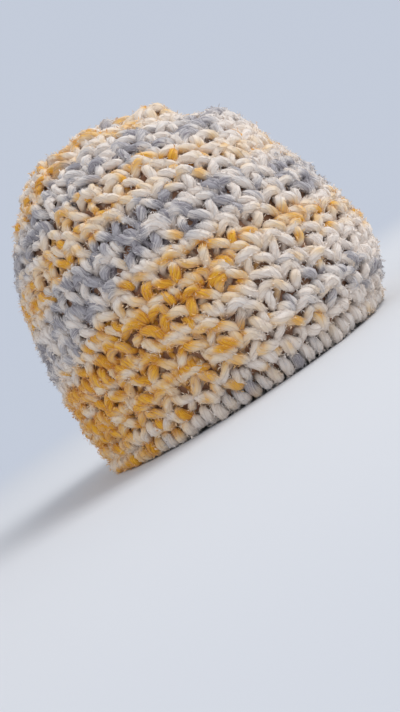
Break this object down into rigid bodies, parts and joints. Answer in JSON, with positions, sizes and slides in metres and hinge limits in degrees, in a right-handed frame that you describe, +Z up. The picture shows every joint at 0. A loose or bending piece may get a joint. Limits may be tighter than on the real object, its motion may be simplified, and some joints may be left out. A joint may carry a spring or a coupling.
{
  "type": "crochet beanie hat",
  "caption": "Domed crochet beanie of thick variegated yarn in moss stitch, gathered at the top, open below for the head, with a firm edging round the rim.",
  "frame": {"origin": "middle of the hat's footprint, on the surface that its rim stands on", "axes": "+Z up through the crown; -Y towards the side worn over the forehead; +X towards the wearer's left ear"},
  "size_m": [0.222, 0.2342, 0.2011],
  "materials": {
    "crown_yarn": "soft matt wool-blend yarn, cream plied with grey and mustard in turn, in looped stitches",
    "side_yarn": "soft matt wool-blend yarn, cream plied with mustard and with slate grey in bands, in looped stitches",
    "edging_yarn": "soft matt wool-blend yarn, cream plied with lavender grey, in small tight stitches"
  },
  "bodies": {
    "root": {"crown": "crown_yarn", "side": "side_yarn", "edging": "edging_yarn"}
  },
  "joints": []
}
